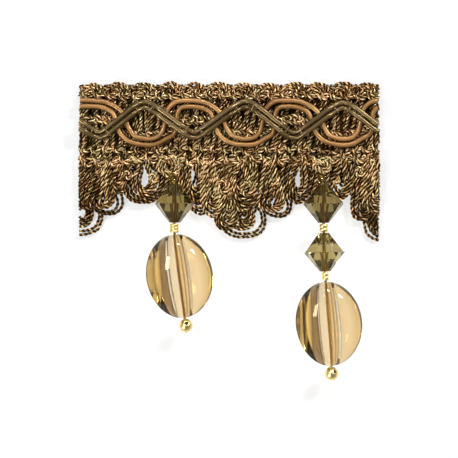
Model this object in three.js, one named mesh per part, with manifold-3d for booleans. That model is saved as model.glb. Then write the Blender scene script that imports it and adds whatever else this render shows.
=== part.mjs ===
// Beaded fringe trim: a crocheted heading with two pairs of couched gimp cords,
// a fringe of scalloped yarn loops, and two drops strung with glass and gilt beads.
// Millimetres. The trim lies face up on z = 0. X runs along the heading and
// +Y points from the drops to the picot edge.
import * as THREE from 'three';
import { mergeVertices } from 'three/addons/utils/BufferGeometryUtils.js';
import Module from 'manifold-3d';

const wasm = await Module();
wasm.setup();

const bronzeYarn = new THREE.MeshStandardMaterial({ color: 0x8a6238, roughness: 0.55, metalness: 0 });
const oliveGimp = new THREE.MeshStandardMaterial({ color: 0x6e6044, roughness: 0.45, metalness: 0 });
const copperGimp = new THREE.MeshStandardMaterial({ color: 0x8f5f3c, roughness: 0.45, metalness: 0 });
const smokyGlass = new THREE.MeshStandardMaterial({ color: 0x6d674a, roughness: 0.08, metalness: 0 });
const amberGlass = new THREE.MeshStandardMaterial({ color: 0xd6ad74, roughness: 0.06, metalness: 0 });
const giltMetal = new THREE.MeshStandardMaterial({ color: 0xe0b030, roughness: 0.25, metalness: 1 });
const goldThread = new THREE.MeshStandardMaterial({ color: 0xc8a860, roughness: 0.6, metalness: 0 });

// Driving dimensions
const trimLength = 63.5;
const halfLength = trimLength / 2;
const clearance = 0.3;

const headingTop = 30.75;
const headingBottom = 14.8;
const headingThickness = 1.6;
const picotHeights = [0.75, 0.86, 0.7, 0.86, 0.6, 0.74, 0.86, 0.7, 0.84, 0.72, 0.8, 0.64];

const cordDiameter = 0.9;
const pairSpacing = cordDiameter + clearance;
const cordEnd = halfLength - 0.3;
const cordSides = 8;
const cordSteps = 60;
const cordLow = headingThickness + clearance + cordDiameter / 2;
const crossingLift = cordDiameter + clearance;
const crossingFlat = 2.3;
const crossingFoot = 4.7;

const fringeTop = headingBottom - clearance;
const fringeRootLine = 10.5;
const fringeRootThickness = 1.6;

const threadDiameter = 0.5;
const boreDiameter = 1.1;
const dropHeight = 4.2;

// Where the zigzag pair turns, measured on the middle of the pair
const zigzagTurns = [
  { x: -37.9, y: 26.4 },
  { x: -27.4, y: 20.1 },
  { x: -17.8, y: 26.4 },
  { x: -7.4, y: 20.1 },
  { x: 3.5, y: 26.6 },
  { x: 13.7, y: 20.0 },
  { x: 24.0, y: 26.3 },
  { x: 34.1, y: 20.0 },
];
const turnSharpness = 0.94;

// One repeat of the wave pair, from the middle of a lower arc to the next one
const waveRepeat = 20.68;
const firstLowerArc = -37.98;
const waveOuterAbove = [
  { along: 0, up: 19.2 },
  { along: 2.3, up: 19.8 },
  { along: 2.95, up: 20.5 },
  { along: 3.7, up: 22.6 },
  { along: 4.36, up: 25.5 },
  { along: 5.72, up: 26.85 },
  { along: 9.23, up: 27.35 },
  { along: 12.02, up: 26.95 },
  { along: 14.56, up: 25.6 },
  { along: 15.45, up: 24.7 },
  { along: 17.0, up: 21.2 },
  { along: 17.84, up: 20.05 },
  { along: 19.26, up: 19.45 },
];
const waveOuterBelow = [
  { along: 0, up: 17.95 },
  { along: 2.33, up: 18.3 },
  { along: 3.95, up: 19.2 },
  { along: 5.72, up: 20.3 },
  { along: 6.2, up: 22.6 },
  { along: 6.44, up: 24.7 },
  { along: 7.1, up: 25.7 },
  { along: 9.1, up: 26.1 },
  { along: 12.02, up: 25.6 },
  { along: 13.23, up: 24.9 },
  { along: 13.97, up: 23.4 },
  { along: 15.05, up: 20.37 },
  { along: 16.28, up: 19.1 },
  { along: 18.6, up: 18.2 },
];
const crossings = [{ fromLowerArc: 5.02 }, { fromLowerArc: 15.13 }];

// Yarn loops of the fringe: where each leaves the root band, where its tip
// lies, its width, its height off the table, and the open eye in a wide loop
const flatLoop = 1.4;
const middleLoop = 1.9;
const topLoop = 2.4;
const knotHeight = 3.4;
const loops = [
  { root: -31.0, tip: -31.5, low: -1.3, width: 9.6, height: flatLoop, eye: 0 },
  { root: -29.6, tip: -30.4, low: 1.7, width: 6.6, height: middleLoop, eye: 0 },
  { root: -27.9, tip: -27.0, low: 4.7, width: 6.6, height: topLoop, eye: 0 },
  { root: -24.8, tip: -24.4, low: 2.9, width: 6.4, height: middleLoop, eye: 0 },
  { root: -18.8, tip: -18.1, low: 5.6, width: 8.4, height: flatLoop, eye: 1.2 },
  { root: -8.6, tip: -4.9, low: 3.3, width: 7.0, height: flatLoop, eye: 1.2 },
  { root: -3.4, tip: -1.9, low: 0.0, width: 6.4, height: topLoop, eye: 0 },
  { root: 1.2, tip: 2.3, low: -1.9, width: 8.2, height: middleLoop, eye: 0 },
  { root: 4.4, tip: 6.0, low: -1.8, width: 8.6, height: flatLoop, eye: 0 },
  { root: 8.3, tip: 8.8, low: 3.9, width: 6.2, height: topLoop, eye: 0 },
  { root: 10.6, tip: 11.4, low: 2.2, width: 6.6, height: middleLoop, eye: 0 },
  { root: 13.9, tip: 14.7, low: 5.1, width: 6.0, height: flatLoop, eye: 1.2 },
  { root: 23.9, tip: 24.5, low: 6.2, width: 7.2, height: flatLoop, eye: 1.2 },
  { root: 27.6, tip: 28.9, low: 1.0, width: 6.6, height: middleLoop, eye: 0 },
  { root: 31.0, tip: 32.2, low: -2.1, width: 7.6, height: topLoop, eye: 0 },
];
const knots = [
  { x: -12.9, y: 13.0, radiusX: 2.2, radiusY: 1.4 },
  { x: 19.5, y: 12.9, radiusX: 1.8, radiusY: 1.3 },
];

// Thread of each drop, from the knot to inside the last bead
const leftThread = [
  { x: -12.1, y: 11.35, z: 3.55 },
  { x: -11.8, y: 10.6, z: 3.92 },
  { x: -11.58, y: 9.85, z: 4.15 },
  { x: -11.46, y: 9.2, z: dropHeight },
  { x: -11.42, y: 8.3, z: dropHeight },
  { x: -11.4, y: 7.4, z: dropHeight },
  { x: -11.45, y: 2.0, z: dropHeight },
  { x: -11.5, y: -0.2, z: dropHeight },
  { x: -11.3, y: -2.5, z: dropHeight },
  { x: -9.0, y: -20.6, z: dropHeight },
  { x: -8.88, y: -21.5, z: dropHeight },
];
const rightThread = [
  { x: 19.4, y: 11.35, z: 3.55 },
  { x: 19.55, y: 10.6, z: 3.92 },
  { x: 19.7, y: 9.85, z: 4.15 },
  { x: 19.77, y: 9.2, z: dropHeight },
  { x: 19.8, y: 8.2, z: dropHeight },
  { x: 19.82, y: 7.4, z: dropHeight },
  { x: 19.9, y: 0.0, z: dropHeight },
  { x: 20.15, y: -7.0, z: dropHeight },
  { x: 20.3, y: -10.5, z: dropHeight },
  { x: 21.5, y: -29.0, z: dropHeight },
  { x: 21.6, y: -31.1, z: dropHeight },
];

// Beads in the order in which they are threaded
const tubeRadius = 0.85;
const biconeRadius = 3.97;
const biconeTableRadius = 1;
const biconeGirdle = 0.24;
const spacerRadius = 0.8;
const spacerEndRadius = 0.7;
const ovalRadius = 7.1;
const ovalCollar = 1.2;
const ovalFlattening = 0.62;
const ovalTwist = 0.22;
const ballRadius = 1.45;
const tube = { make: tubeBead, length: 1.5, gapAfter: 0.65, material: smokyGlass };
const bicone = { make: biconeBead, length: 7.75, gapAfter: clearance, material: smokyGlass };
const spacer = { make: spacerBead, length: 1.8, gapAfter: clearance, material: giltMetal };
const longSpacer = { make: spacerBead, length: 2.1, gapAfter: clearance, material: giltMetal };
const oval = { make: ovalBead, length: 17.55, gapAfter: clearance, material: amberGlass };
const ball = { make: ballBead, length: 2.85, gapAfter: 0, material: giltMetal };
const leftBeads = { tube, bicone, spacer: longSpacer, oval, ball };
const rightBeads = {
  tube,
  bicone_1: bicone,
  spacer_1: spacer,
  bicone_2: bicone,
  spacer_2: spacer,
  oval,
  ball,
};

const trim = new THREE.Group();

function addPiece(name, geometry, material) {
  const piece = new THREE.Mesh(geometry, material.clone());
  piece.name = name;
  trim.add(piece);
  return piece;
}

// Solids that are joined or cut

function toSolid(geometry) {
  const bare = geometry.clone();
  bare.deleteAttribute('normal');
  bare.deleteAttribute('uv');
  const merged = mergeVertices(bare, 1e-4);
  return new wasm.Manifold(new wasm.Mesh({
    numProp: 3,
    vertProperties: new Float32Array(merged.attributes.position.array),
    triVerts: new Uint32Array(merged.index.array),
  }));
}

function toGeometry(solid) {
  const { vertProperties, triVerts } = solid.getMesh();
  const geometry = new THREE.BufferGeometry();
  geometry.setAttribute('position', new THREE.BufferAttribute(vertProperties, 3));
  geometry.setIndex(new THREE.BufferAttribute(triVerts, 1));
  geometry.computeVertexNormals();
  return geometry;
}

// Heading with its picot edge

function headingGeometry() {
  const outline = new THREE.Shape();
  outline.moveTo(-halfLength, headingBottom);
  outline.lineTo(halfLength, headingBottom);
  outline.lineTo(halfLength, headingTop);
  const pitch = trimLength / picotHeights.length;
  picotHeights.forEach((height, i) => {
    const right = halfLength - i * pitch;
    const middle = right - pitch / 2;
    outline.quadraticCurveTo(middle, headingTop + 2 * height, right - pitch, headingTop);
  });
  outline.closePath();
  return new THREE.ExtrudeGeometry(outline, {
    depth: headingThickness,
    bevelEnabled: false,
    curveSegments: 5,
  });
}

// Gimp cords

function roundSection(diameter, sides) {
  const section = new THREE.Shape();
  for (let i = 0; i < sides; i += 1) {
    const angle = (2 * Math.PI * i) / sides;
    const x = (diameter / 2) * Math.cos(angle);
    const y = (diameter / 2) * Math.sin(angle);
    if (i === 0) section.moveTo(x, y);
    else section.lineTo(x, y);
  }
  section.closePath();
  return section;
}

function tubeAlong(curve, diameter, sides, steps) {
  return new THREE.ExtrudeGeometry(roundSection(diameter, sides), { steps, extrudePath: curve });
}

function zigzagMiddle(x) {
  const next = zigzagTurns.findIndex((turn) => turn.x > x);
  const from = zigzagTurns[next - 1];
  const to = zigzagTurns[next];
  const share = (x - from.x) / (to.x - from.x);
  const rounded = Math.asin(turnSharpness * Math.cos(Math.PI * share)) / Math.asin(turnSharpness);
  return (from.y + to.y) / 2 + ((from.y - to.y) / 2) * rounded;
}

function zigzagHeight(x) {
  let nearest = Infinity;
  for (let arc = firstLowerArc; arc < halfLength; arc += waveRepeat) {
    for (const crossing of crossings) {
      nearest = Math.min(nearest, Math.abs(x - arc - crossing.fromLowerArc));
    }
  }
  const rise = 1 - THREE.MathUtils.smoothstep(nearest, crossingFlat, crossingFoot);
  return cordLow + crossingLift * rise;
}

function zigzagCurve(side) {
  const step = 0.01;
  const points = [];
  for (let i = 0; i <= cordSteps; i += 1) {
    const x = -cordEnd + (2 * cordEnd * i) / cordSteps;
    const slope = (zigzagMiddle(x + step) - zigzagMiddle(x - step)) / (2 * step);
    const offset = (side * pairSpacing * Math.hypot(1, slope)) / 2;
    points.push(new THREE.Vector3(x, zigzagMiddle(x) + offset, zigzagHeight(x)));
  }
  return new THREE.CatmullRomCurve3(points);
}

function waveCurve(repeat) {
  const route = [];
  for (let arc = firstLowerArc; arc < halfLength + waveRepeat; arc += waveRepeat) {
    for (const { along, up } of repeat) route.push(new THREE.Vector3(arc + along, up, cordLow));
  }
  const samples = new THREE.CatmullRomCurve3(route).getSpacedPoints(cordSteps * 6);
  const first = samples.findIndex((point) => point.x > -cordEnd);
  const last = samples.findLastIndex((point) => point.x < cordEnd);
  return new THREE.CatmullRomCurve3(samples.slice(first, last + 1));
}

// Loop fringe: one comb of yarn loops that share a root band

function loopSolid({ root, tip, low, width, height, eye }) {
  const half = width / 2;
  const centre = low + half;
  const outline = new THREE.Shape();
  outline.moveTo(root - half, fringeTop);
  outline.lineTo(tip - half, centre);
  outline.absarc(tip, centre, half, Math.PI, 2 * Math.PI, false);
  outline.lineTo(root + half, fringeTop);
  outline.closePath();
  if (eye > 0) {
    const opening = new THREE.Path();
    opening.absellipse(tip, centre, eye / 2, eye, 0, 2 * Math.PI, true);
    outline.holes.push(opening);
  }
  const geometry = new THREE.ExtrudeGeometry(outline, {
    depth: height,
    bevelEnabled: false,
    curveSegments: 12,
  });
  return toSolid(geometry);
}

function knotSolid({ x, y, radiusX, radiusY }) {
  const topShare = 0.8;
  const knot = new THREE.CylinderGeometry(topShare, 1, knotHeight, 12);
  knot.rotateX(Math.PI / 2);
  knot.scale(radiusX, radiusY, 1);
  knot.translate(x, y, knotHeight / 2);
  return toSolid(knot);
}

function fringeGeometry() {
  const rootDepth = fringeTop - fringeRootLine;
  const rootBand = new THREE.BoxGeometry(trimLength, rootDepth, fringeRootThickness);
  rootBand.translate(0, (fringeTop + fringeRootLine) / 2, fringeRootThickness / 2);
  const cutLength = new THREE.BoxGeometry(trimLength, trimLength, 4 * knotHeight);
  let comb = toSolid(rootBand);
  for (const loop of loops) comb = comb.add(loopSolid(loop));
  for (const knot of knots) comb = comb.add(knotSolid(knot));
  return toGeometry(comb.intersect(toSolid(cutLength)));
}

// Beads, each turned about the Y axis round its bore

function turned(outside, length, segments) {
  const bore = boreDiameter / 2;
  const profile = [[bore, -length / 2], ...outside, [bore, length / 2], [bore, -length / 2]];
  return new THREE.LatheGeometry(profile.map(([r, y]) => new THREE.Vector2(r, y)), segments);
}

function tubeBead(length) {
  return turned([[tubeRadius, -length / 2], [tubeRadius, length / 2]], length, 10);
}

function biconeBead(length) {
  const outside = [
    [biconeTableRadius, -length / 2],
    [biconeRadius, -biconeGirdle / 2],
    [biconeRadius, biconeGirdle / 2],
    [biconeTableRadius, length / 2],
  ];
  return turned(outside, length, 8);
}

function spacerBead(length) {
  const outside = [[spacerEndRadius, -length / 2], [spacerRadius, 0], [spacerEndRadius, length / 2]];
  return turned(outside, length, 10);
}

// Rings of a bead whose outside is an ellipse cut off at its two collars
function ovalProfile(radius, collar, length, rings) {
  const endAngle = Math.acos(collar / radius);
  const outside = [];
  for (let i = 0; i <= rings; i += 1) {
    const angle = endAngle * ((2 * i) / rings - 1);
    outside.push([radius * Math.cos(angle), (length * Math.sin(angle)) / (2 * Math.sin(endAngle))]);
  }
  return outside;
}

function ballBead(length) {
  const collar = boreDiameter / 2 + 0.1;
  return turned(ovalProfile(ballRadius, collar, length, 7), length, 12);
}

// The oval bead is flattened, twisted a little, and worn flat where it lies
function ovalBead(length) {
  const geometry = turned(ovalProfile(ovalRadius, ovalCollar, length, 11), length, 16);
  const bore = boreDiameter / 2;
  const axis = new THREE.Vector3(0, 1, 0);
  const places = geometry.attributes.position;
  for (let i = 0; i < places.count; i += 1) {
    const place = new THREE.Vector3().fromBufferAttribute(places, i);
    const share = Math.max(0, (Math.hypot(place.x, place.z) - bore) / (ovalRadius - bore));
    place.z *= 1 + (ovalFlattening - 1) * share;
    place.applyAxisAngle(axis, (2 * ovalTwist * share * place.y) / length);
    place.z = Math.max(place.z, -dropHeight);
    places.setXYZ(i, place.x, place.y, place.z);
  }
  return geometry;
}

// A drop is its thread and the beads strung along it

function addDrop(side, route, beads) {
  const curve = new THREE.CatmullRomCurve3(route.map(({ x, y, z }) => new THREE.Vector3(x, y, z)));
  const curveLength = curve.getLength();
  const beadAxis = new THREE.Vector3(0, -1, 0);
  addPiece(`${side}_drop_thread`, tubeAlong(curve, threadDiameter, 8, 30), goldThread);
  let station = 0;
  for (const [name, { make, length, gapAfter, material }] of Object.entries(beads)) {
    const middle = (station + length / 2) / curveLength;
    const bead = addPiece(`${side}_drop_${name}`, make(length), material);
    bead.position.copy(curve.getPointAt(middle));
    bead.quaternion.setFromUnitVectors(beadAxis, curve.getTangentAt(middle));
    station += length + gapAfter;
  }
}

addPiece('heading_band', headingGeometry(), bronzeYarn);
addPiece('loop_fringe', fringeGeometry(), bronzeYarn);
addPiece('zigzag_cord_1', tubeAlong(zigzagCurve(1), cordDiameter, cordSides, cordSteps), oliveGimp);
addPiece('zigzag_cord_2', tubeAlong(zigzagCurve(-1), cordDiameter, cordSides, cordSteps), oliveGimp);
addPiece('wave_cord_1', tubeAlong(waveCurve(waveOuterAbove), cordDiameter, cordSides, cordSteps), copperGimp);
addPiece('wave_cord_2', tubeAlong(waveCurve(waveOuterBelow), cordDiameter, cordSides, cordSteps), copperGimp);
addDrop('left', leftThread, leftBeads);
addDrop('right', rightThread, rightBeads);

export default trim;
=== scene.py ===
import math

import bpy
import numpy as np
from mathutils import Matrix, Vector


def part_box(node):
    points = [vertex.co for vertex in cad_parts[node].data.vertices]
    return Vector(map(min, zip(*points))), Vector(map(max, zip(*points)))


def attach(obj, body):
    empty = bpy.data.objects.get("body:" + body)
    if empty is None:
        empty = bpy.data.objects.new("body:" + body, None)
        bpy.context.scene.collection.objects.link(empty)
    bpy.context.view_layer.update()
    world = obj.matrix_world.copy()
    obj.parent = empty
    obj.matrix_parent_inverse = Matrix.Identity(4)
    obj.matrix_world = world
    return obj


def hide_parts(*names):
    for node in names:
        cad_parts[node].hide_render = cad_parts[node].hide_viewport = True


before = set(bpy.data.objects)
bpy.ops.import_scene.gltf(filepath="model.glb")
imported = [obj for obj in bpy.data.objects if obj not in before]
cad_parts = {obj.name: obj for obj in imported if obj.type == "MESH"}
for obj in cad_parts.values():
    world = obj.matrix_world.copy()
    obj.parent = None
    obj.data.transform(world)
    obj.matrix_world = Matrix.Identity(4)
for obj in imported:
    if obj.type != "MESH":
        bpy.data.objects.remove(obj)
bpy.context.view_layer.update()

# The trim is worked out in millimetres and turned into metres when a mesh is made.
mm = 0.001
dice = np.random.default_rng(41)
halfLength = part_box("heading_band")[1].x / mm
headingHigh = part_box("heading_band")[1].y / mm
print("frame loaded, trim length", round(2 * halfLength, 2))


# Paths: smooth curves through given points, in even steps

def lengthsAlong(path):
    return np.concatenate([[0.0], np.cumsum(np.linalg.norm(np.diff(path, axis=0), axis=1))])


def evenSteps(path, spacing):
    along = lengthsAlong(path)
    count = max(4, int(round(along[-1] / spacing)) + 1)
    places = np.linspace(0.0, along[-1], count)
    return np.stack([np.interp(places, along, path[:, axis]) for axis in range(3)], axis=1)


def smoothPath(points, spacing):
    knots = np.asarray(points, dtype=float)
    gaps = np.linalg.norm(np.diff(knots, axis=0), axis=1)
    along = np.concatenate([[0.0], np.cumsum(gaps)])
    slopes = np.diff(knots, axis=0) / gaps[:, None]
    turns = np.empty_like(knots)
    before, after = gaps[:-1, None], gaps[1:, None]
    turns[1:-1] = (slopes[:-1] * after + slopes[1:] * before) / (before + after)
    turns[0] = slopes[0]
    turns[-1] = slopes[-1]
    fine = np.linspace(0.0, along[-1], max(12, int(along[-1] / spacing * 3)))
    part = np.clip(np.searchsorted(along, fine, side="right") - 1, 0, len(gaps) - 1)
    span = gaps[part][:, None]
    u = (fine - along[part])[:, None] / span
    path = (2 * u**3 - 3 * u**2 + 1) * knots[part]
    path += (u**3 - 2 * u**2 + u) * span * turns[part]
    path += (3 * u**2 - 2 * u**3) * knots[part + 1]
    path += (u**3 - u**2) * span * turns[part + 1]
    return evenSteps(path, spacing)


def cutEnds(path, limit):
    # keeps the stretches between the two scissor cuts
    inside = np.abs(path[:, 0]) <= limit
    runs = []
    start = None
    for i, kept in enumerate(inside):
        if kept and start is None:
            start = i
        if start is not None and (not kept or i == len(inside) - 1):
            stop = i if not kept else i + 1
            run = path[start:stop]
            if start > 0:
                run = np.vstack([crossing(path[start - 1], path[start], limit), run])
            if not kept:
                run = np.vstack([run, crossing(path[stop], path[stop - 1], limit)])
            if len(run) > 5:
                runs.append(run)
            start = None
    return runs


def crossing(outside, inside, limit):
    edge = math.copysign(limit, outside[0])
    share = (edge - inside[0]) / (outside[0] - inside[0])
    return inside + (outside - inside) * share


def someTone(least, spread):
    return least + spread * dice.random()


def wander(count, size, reach):
    # a slow, smooth drift along a path
    knots = max(3, int(count / reach) + 2)
    drift = dice.normal(0.0, size, (knots, 3))
    places = np.linspace(0, knots - 1, count)
    return np.stack([np.interp(places, np.arange(knots), drift[:, axis]) for axis in range(3)], axis=1)


# Meshes: tubes are gathered in a store, then made into one object

def newStore():
    return {"points": [], "tone": [], "quads": [], "caps": [], "maps": [], "capMaps": [], "count": 0}


def unit(vectors):
    return vectors / np.maximum(np.linalg.norm(vectors, axis=1, keepdims=True), 1e-9)


def sideVectors(path):
    ahead = unit(np.gradient(path, axis=0))
    side = unit(np.cross(ahead, np.array([0.0, 0.0, 1.0]) + 1e-4))
    above = np.cross(side, ahead)
    return side, above


def addTube(store, path, outward, radius, sides, tone, paintedRidgeShade=0.0):
    # one round strand; outward is the direction of its first side, which is painted paler than the rest while
    # the far side is painted darker: painted highlight and painted shade
    ahead = unit(np.gradient(path, axis=0))
    first = unit(outward - ahead * np.sum(outward * ahead, axis=1, keepdims=True))
    second = np.cross(ahead, first)
    count = len(path)
    around = np.linspace(0, 2 * math.pi, sides, endpoint=False)
    radius = np.broadcast_to(np.asarray(radius, dtype=float), (count,))
    ring = np.cos(around)[None, :, None] * first[:, None, :]
    ring = ring + np.sin(around)[None, :, None] * second[:, None, :]
    points = path[:, None, :] + ring * radius[:, None, None]
    store["points"].append(points.reshape(-1, 3))
    tones = np.broadcast_to(np.asarray(tone, dtype=float), (count,))[:, None]
    tones = tones + paintedRidgeShade * np.cos(around)[None, :]
    store["tone"].append(tones.ravel())
    base = store["count"]
    steps = np.arange(count - 1)[:, None]
    slots = np.arange(sides)[None, :]
    after = (slots + 1) % sides
    quads = np.stack([
        base + steps * sides + slots,
        base + steps * sides + after,
        base + (steps + 1) * sides + after,
        base + (steps + 1) * sides + slots,
    ], axis=-1)
    store["quads"].append(quads.reshape(-1, 4))
    along = lengthsAlong(path)
    low = along[:-1][:, None] + 0 * slots
    high = along[1:][:, None] + 0 * slots
    near = (slots + 0 * steps) / sides
    far = near + 1 / sides
    maps = np.stack([
        np.stack([low, near], axis=-1),
        np.stack([low, far], axis=-1),
        np.stack([high, far], axis=-1),
        np.stack([high, near], axis=-1),
    ], axis=2)
    store["maps"].append(maps.reshape(-1, 2))
    last = base + (count - 1) * sides
    store["caps"].append(np.array([base + np.arange(sides)[::-1], last + np.arange(sides)]))
    store["capMaps"].append(np.zeros((2 * sides, 2)))
    store["count"] += count * sides


def yarnSizes(radius, plyRadius, pitch, sides, plyTone, paintedRidgeShade):
    # pitch is the length of one turn; the last value sets how much paler the outer side of a ply is painted
    # and how much darker the side where the plies touch: painted highlight and painted shade
    return {"radius": radius, "plyRadius": plyRadius, "plies": 2, "pitch": pitch, "sides": sides,
            "plyTone": plyTone, "paintedRidgeShade": paintedRidgeShade}


def addYarn(store, path, spec, tone):
    # a twisted yarn of several plies that wind round each other
    side, above = sideVectors(path)
    along = lengthsAlong(path)
    start = dice.uniform(0, 2 * math.pi)
    plies = spec["plies"]
    swell = 1 + 0.05 * np.sin(along / 3.1 + start)
    for ply in range(plies):
        angle = -2 * math.pi * along / spec["pitch"] + start + 2 * math.pi * ply / plies
        outward = np.cos(angle)[:, None] * side + np.sin(angle)[:, None] * above
        centre = path + outward * (spec["radius"] - spec["plyRadius"]) * swell[:, None]
        plyTone = tone + spec["plyTone"] * (ply - (plies - 1) / 2) + dice.normal(0, 0.03)
        addTube(store, centre, outward, spec["plyRadius"] * swell, spec["sides"], plyTone, spec["paintedRidgeShade"])


def makeObject(name, store, material, smooth=True):
    points = np.concatenate(store["points"]) * mm
    quads = np.concatenate(store["quads"])
    capSides = [len(row) for caps in store["caps"] for row in caps]
    corners = np.concatenate([quads.ravel()] + [caps.ravel() for caps in store["caps"]])
    totals = np.concatenate([np.full(len(quads), 4), np.array(capSides, dtype=int)])
    starts = np.concatenate([[0], np.cumsum(totals)[:-1]])
    mesh = bpy.data.meshes.new(name)
    mesh.vertices.add(len(points))
    mesh.vertices.foreach_set("co", points.ravel())
    mesh.loops.add(len(corners))
    mesh.loops.foreach_set("vertex_index", corners)
    mesh.polygons.add(len(totals))
    mesh.polygons.foreach_set("loop_start", starts)
    mesh.polygons.foreach_set("loop_total", totals)
    mesh.polygons.foreach_set("use_smooth", np.full(len(totals), smooth))
    yarnMap = mesh.uv_layers.new(name="yarnMap")
    maps = np.concatenate(store["maps"] + store["capMaps"])
    yarnMap.data.foreach_set("uv", maps.ravel())
    tone = mesh.attributes.new("tone", "FLOAT", "POINT")
    tone.data.foreach_set("value", np.concatenate(store["tone"]))
    mesh.update(calc_edges=True)
    mesh.validate()
    return placeMesh(name, mesh, material)


def linkObject(name, data):
    made = bpy.data.objects.new(name, data)
    bpy.context.scene.collection.objects.link(made)
    return made


def placeMesh(name, mesh, material):
    mesh.materials.append(material)
    piece = linkObject(name, mesh)
    triangles = sum(len(face.vertices) - 2 for face in mesh.polygons)
    print("made", name, triangles, "triangles")
    return piece


def finishPiece(piece, slotName, *nodes):
    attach(piece, "root")
    if nodes:
        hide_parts(*nodes)
    return piece


# Shader groups that several materials share

def newGroup(name, inputs, outputs):
    group = bpy.data.node_groups.new(name, "ShaderNodeTree")
    for label, kind, value in inputs:
        socket = group.interface.new_socket(name=label, in_out="INPUT", socket_type=kind)
        socket.default_value = value
    for label, kind in outputs:
        group.interface.new_socket(name=label, in_out="OUTPUT", socket_type=kind)
    return group


def addNode(tree, kind, **values):
    node = tree.nodes.new(kind)
    for key, value in values.items():
        if hasattr(node, key):
            setattr(node, key, value)
        else:
            node.inputs[key.replace("_", " ")].default_value = value
    return node


def mathNode(tree, operation, first, second=None, third=None):
    node = tree.nodes.new("ShaderNodeMath")
    node.operation = operation
    for index, value in enumerate((first, second, third)):
        if value is None:
            continue
        if isinstance(value, (int, float)):
            node.inputs[index].default_value = value
        else:
            tree.links.new(value, node.inputs[index])
    return node.outputs[0]


def rampNode(tree, factor, stops):
    ramp = tree.nodes.new("ShaderNodeValToRGB")
    elements = ramp.color_ramp.elements
    for index, (place, colour) in enumerate(stops):
        element = elements[index] if index < 2 else elements.new(place)
        element.position = place
        element.color = (*colour, 1.0)
    tree.links.new(factor, ramp.inputs[0])
    return ramp.outputs[0]


def mixColours(tree, blend, factor, first, second):
    node = tree.nodes.new("ShaderNodeMix")
    node.data_type = "RGBA"
    node.blend_type = blend
    for socket, value in ((node.inputs[0], factor), (node.inputs[6], first), (node.inputs[7], second)):
        if isinstance(value, (int, float, tuple)):
            socket.default_value = value
        else:
            tree.links.new(value, socket)
    return node.outputs[2]


def buildFibreGroup():
    # fine filaments that run along a strand, read from the strand's own map
    group = newGroup(
        "strandFibres",
        [
            ("Count", "NodeSocketFloat", 9.0),
            ("Slant", "NodeSocketFloat", 0.4),
            ("Roughen", "NodeSocketFloat", 0.5),
        ],
        [("Height", "NodeSocketFloat")],
    )
    start = group.nodes.new("NodeGroupInput")
    end = group.nodes.new("NodeGroupOutput")
    uv = addNode(group, "ShaderNodeUVMap", uv_map="yarnMap")
    split = group.nodes.new("ShaderNodeSeparateXYZ")
    group.links.new(uv.outputs[0], split.inputs[0])
    lean = mathNode(group, "MULTIPLY", split.outputs[0], start.outputs["Slant"])
    turn = mathNode(group, "ADD", split.outputs[1], lean)
    phase = mathNode(group, "MULTIPLY", turn, start.outputs["Count"])
    wave = mathNode(group, "SINE", mathNode(group, "MULTIPLY", phase, 2 * math.pi))
    noise = addNode(group, "ShaderNodeTexNoise", Scale=2600.0, Detail=2.0)
    place = group.nodes.new("ShaderNodeTexCoord")
    group.links.new(place.outputs["Object"], noise.inputs["Vector"])
    rough = mathNode(group, "MULTIPLY", noise.outputs[0], start.outputs["Roughen"])
    height = mathNode(group, "MULTIPLY_ADD", wave, 0.25, rough)
    group.links.new(height, end.inputs["Height"])
    return group


def buildShadeGroup():
    # dyed patches, strand-to-strand variety and the painted shade and painted highlight carried in the tone
    # of each strand
    group = newGroup(
        "dyeAndPaintedShade",
        [
            ("Dark", "NodeSocketColor", (0.1, 0.06, 0.02, 1)),
            ("Middle", "NodeSocketColor", (0.3, 0.2, 0.08, 1)),
            ("Light", "NodeSocketColor", (0.5, 0.3, 0.15, 1)),
            ("Patch Size", "NodeSocketFloat", 160.0),
            ("Patch Strength", "NodeSocketFloat", 0.5),
            ("Hue Change", "NodeSocketFloat", 0.0),
        ],
        [("Color", "NodeSocketColor")],
    )
    start = group.nodes.new("NodeGroupInput")
    end = group.nodes.new("NodeGroupOutput")
    tone = addNode(group, "ShaderNodeAttribute", attribute_name="tone")
    place = group.nodes.new("ShaderNodeTexCoord")
    patches = addNode(group, "ShaderNodeTexNoise", Detail=2.0)
    group.links.new(place.outputs["Object"], patches.inputs["Vector"])
    group.links.new(start.outputs["Patch Size"], patches.inputs["Scale"])
    centred = mathNode(group, "SUBTRACT", patches.outputs[0], 0.5)
    shift = mathNode(group, "MULTIPLY", centred, start.outputs["Patch Strength"])
    total = mathNode(group, "ADD", tone.outputs["Fac"], shift)
    lower = mathNode(group, "MULTIPLY", total, 2.0)
    lower = addClamp(group, lower)
    upper = mathNode(group, "MULTIPLY_ADD", total, 2.0, -1.0)
    upper = addClamp(group, upper)
    darkHalf = mixColours(group, "MIX", lower, start.outputs["Dark"], start.outputs["Middle"])
    colour = mixColours(group, "MIX", upper, darkHalf, start.outputs["Light"])
    # the dye drifts between copper and olive over a few stitches
    drift = addNode(group, "ShaderNodeTexNoise", Scale=300.0, Detail=2.0)
    group.links.new(place.outputs["Object"], drift.inputs["Vector"])
    tint = rampNode(group, drift.outputs[0], [(0.36, (1.1, 0.9, 0.72)), (0.64, (0.88, 0.95, 0.74))])
    colour = mixColours(group, "MULTIPLY", start.outputs["Hue Change"], colour, tint)
    group.links.new(colour, end.inputs["Color"])
    return group


def addClamp(tree, value):
    node = tree.nodes.new("ShaderNodeClamp")
    tree.links.new(value, node.inputs[0])
    return node.outputs[0]


fibreGroup = buildFibreGroup()
shadeGroup = buildShadeGroup()


def newMaterial(name):
    material = bpy.data.materials.new(name)
    material.use_nodes = True
    tree = material.node_tree
    shader = tree.nodes["Principled BSDF"]
    return material, tree, shader


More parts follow.
